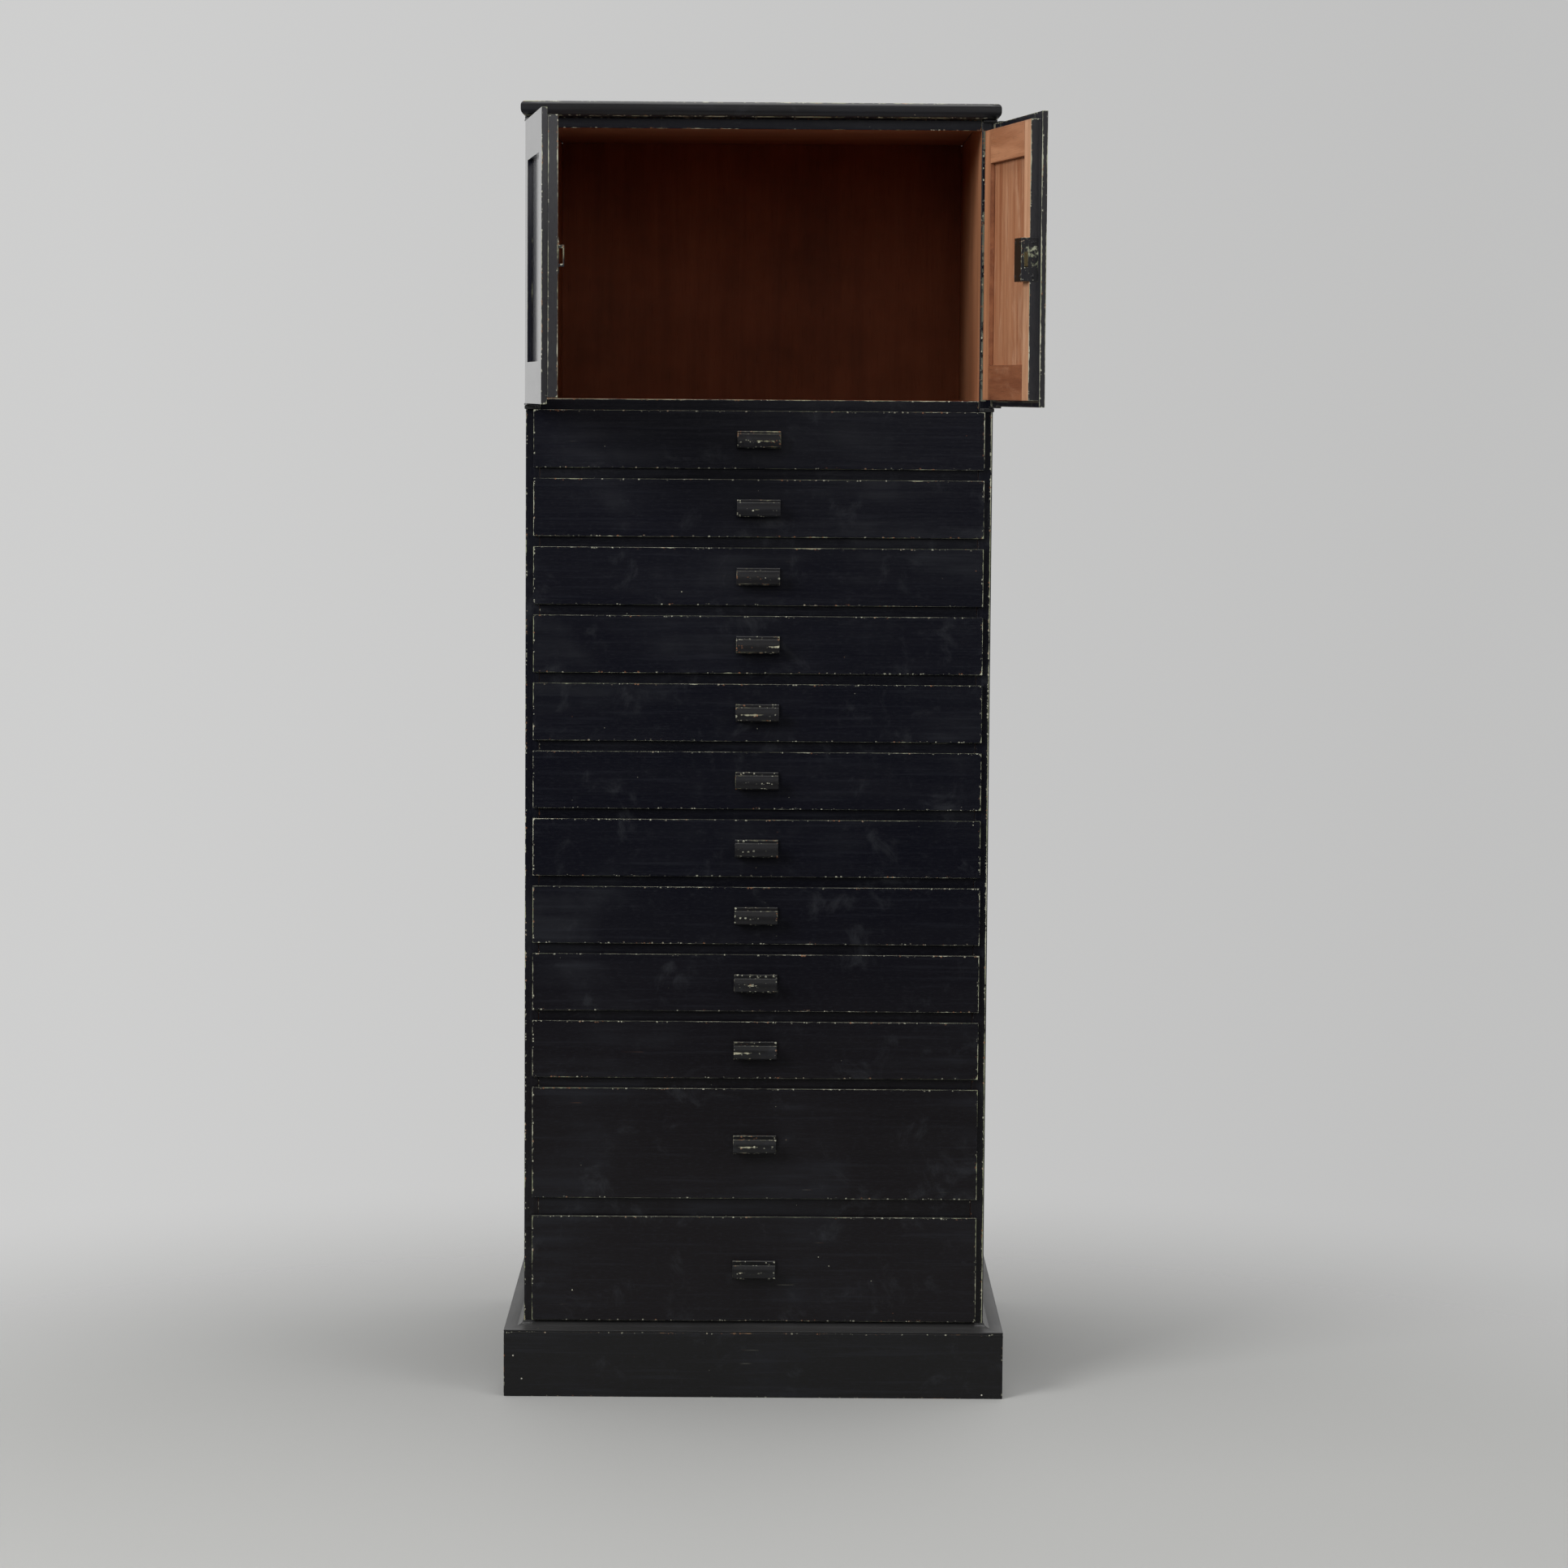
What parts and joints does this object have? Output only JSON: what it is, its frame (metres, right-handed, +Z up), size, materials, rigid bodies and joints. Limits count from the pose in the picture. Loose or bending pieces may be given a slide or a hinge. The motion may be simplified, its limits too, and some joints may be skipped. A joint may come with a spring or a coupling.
{
  "type": "flat file cabinet",
  "caption": "Tall wooden cabinet: a two-door cupboard over shallow and deep sheet drawers with scooped finger pulls, on a projecting moulded plinth.",
  "frame": {"origin": "on the floor at the middle of the carcass's footprint", "axes": "+Z up, front with the doors and drawers towards -Y, +X to the viewer's right"},
  "size_m": [0.7743, 1.0527, 1.925],
  "materials": {
    "black_paint": "old satin black paint on wood, brushed, worn through to a pale undercoat and brown wood at the edges",
    "inside_wood": "bare aged mahogany, waxed",
    "drawer_wood": "bare light hardwood, aged",
    "painted_iron": "black-painted wrought iron",
    "steel": "tarnished steel",
    "brass": "dull aged brass"
  },
  "bodies": {
    "carcass": {"top_board": "black_paint", "left_side": "black_paint", "right_side": "black_paint", "back_panel": "inside_wood", "top_rail": "black_paint", "cupboard_floor": "inside_wood", "drawer_rails": "black_paint", "drawer_runners": "inside_wood", "bottom_board": "inside_wood", "plinth_front": "black_paint", "plinth_sides": "black_paint", "plinth_cross_boards": "inside_wood", "plinth_moulding": "black_paint", "hinge_brackets": "painted_iron"},
    "left_door": {"left_door_frame": "black_paint", "left_door_panel": "black_paint", "left_door_hinge_leaves": "painted_iron", "strike_plate": "steel"},
    "right_door": {"right_door_frame": "black_paint", "right_door_panel": "black_paint", "right_door_hinge_leaves": "painted_iron", "lock_case": "steel", "escutcheon": "brass"},
    "lock_bolt": {"lock_bolt": "brass"},
    "drawer_01": {"drawer_01_front": "black_paint", "drawer_01_tray": "drawer_wood", "drawer_01_pull": "black_paint"},
    "drawer_02": {"drawer_02_front": "black_paint", "drawer_02_tray": "drawer_wood", "drawer_02_pull": "black_paint"},
    "drawer_03": {"drawer_03_front": "black_paint", "drawer_03_tray": "drawer_wood", "drawer_03_pull": "black_paint"},
    "drawer_04": {"drawer_04_front": "black_paint", "drawer_04_tray": "drawer_wood", "drawer_04_pull": "black_paint"},
    "drawer_05": {"drawer_05_front": "black_paint", "drawer_05_tray": "drawer_wood", "drawer_05_pull": "black_paint"},
    "drawer_06": {"drawer_06_front": "black_paint", "drawer_06_tray": "drawer_wood", "drawer_06_pull": "black_paint"},
    "drawer_07": {"drawer_07_front": "black_paint", "drawer_07_tray": "drawer_wood", "drawer_07_pull": "black_paint"},
    "drawer_08": {"drawer_08_front": "black_paint", "drawer_08_tray": "drawer_wood", "drawer_08_pull": "black_paint"},
    "drawer_09": {"drawer_09_front": "black_paint", "drawer_09_tray": "drawer_wood", "drawer_09_pull": "black_paint"},
    "drawer_10": {"drawer_10_front": "black_paint", "drawer_10_tray": "drawer_wood", "drawer_10_pull": "black_paint"},
    "drawer_11": {"drawer_11_front": "black_paint", "drawer_11_tray": "drawer_wood", "drawer_11_pull": "black_paint"},
    "drawer_12": {"drawer_12_front": "black_paint", "drawer_12_tray": "drawer_wood", "drawer_12_pull": "black_paint"}
  },
  "joints": [
    {"name": "left_door_hinge", "type": "hinge", "parent": "carcass", "child": "left_door", "pos_m": [-0.343, -0.3546, 1.689], "axis": [0, 0, -1], "range_deg": [-83, 97]},
    {"name": "right_door_hinge", "type": "hinge", "parent": "carcass", "child": "right_door", "pos_m": [0.343, -0.3546, 1.689], "axis": [0, 0, 1], "range_deg": [-99, 81]},
    {"name": "lock_bolt_slide", "type": "slide", "parent": "right_door", "child": "lock_bolt", "axis": [0.1564, -0.9877, 0], "range_m": [0, 0.008]},
    {"name": "drawer_01_slide", "type": "slide", "parent": "carcass", "child": "drawer_01", "axis": [0, -1, 0], "range_m": [0, 0.52]},
    {"name": "drawer_02_slide", "type": "slide", "parent": "carcass", "child": "drawer_02", "axis": [0, -1, 0], "range_m": [0, 0.52]},
    {"name": "drawer_03_slide", "type": "slide", "parent": "carcass", "child": "drawer_03", "axis": [0, -1, 0], "range_m": [0, 0.52]},
    {"name": "drawer_04_slide", "type": "slide", "parent": "carcass", "child": "drawer_04", "axis": [0, -1, 0], "range_m": [0, 0.52]},
    {"name": "drawer_05_slide", "type": "slide", "parent": "carcass", "child": "drawer_05", "axis": [0, -1, 0], "range_m": [0, 0.52]},
    {"name": "drawer_06_slide", "type": "slide", "parent": "carcass", "child": "drawer_06", "axis": [0, -1, 0], "range_m": [0, 0.52]},
    {"name": "drawer_07_slide", "type": "slide", "parent": "carcass", "child": "drawer_07", "axis": [0, -1, 0], "range_m": [0, 0.52]},
    {"name": "drawer_08_slide", "type": "slide", "parent": "carcass", "child": "drawer_08", "axis": [0, -1, 0], "range_m": [0, 0.52]},
    {"name": "drawer_09_slide", "type": "slide", "parent": "carcass", "child": "drawer_09", "axis": [0, -1, 0], "range_m": [0, 0.52]},
    {"name": "drawer_10_slide", "type": "slide", "parent": "carcass", "child": "drawer_10", "axis": [0, -1, 0], "range_m": [0, 0.52]},
    {"name": "drawer_11_slide", "type": "slide", "parent": "carcass", "child": "drawer_11", "axis": [0, -1, 0], "range_m": [0, 0.52]},
    {"name": "drawer_12_slide", "type": "slide", "parent": "carcass", "child": "drawer_12", "axis": [0, -1, 0], "range_m": [0, 0.52]}
  ]
}
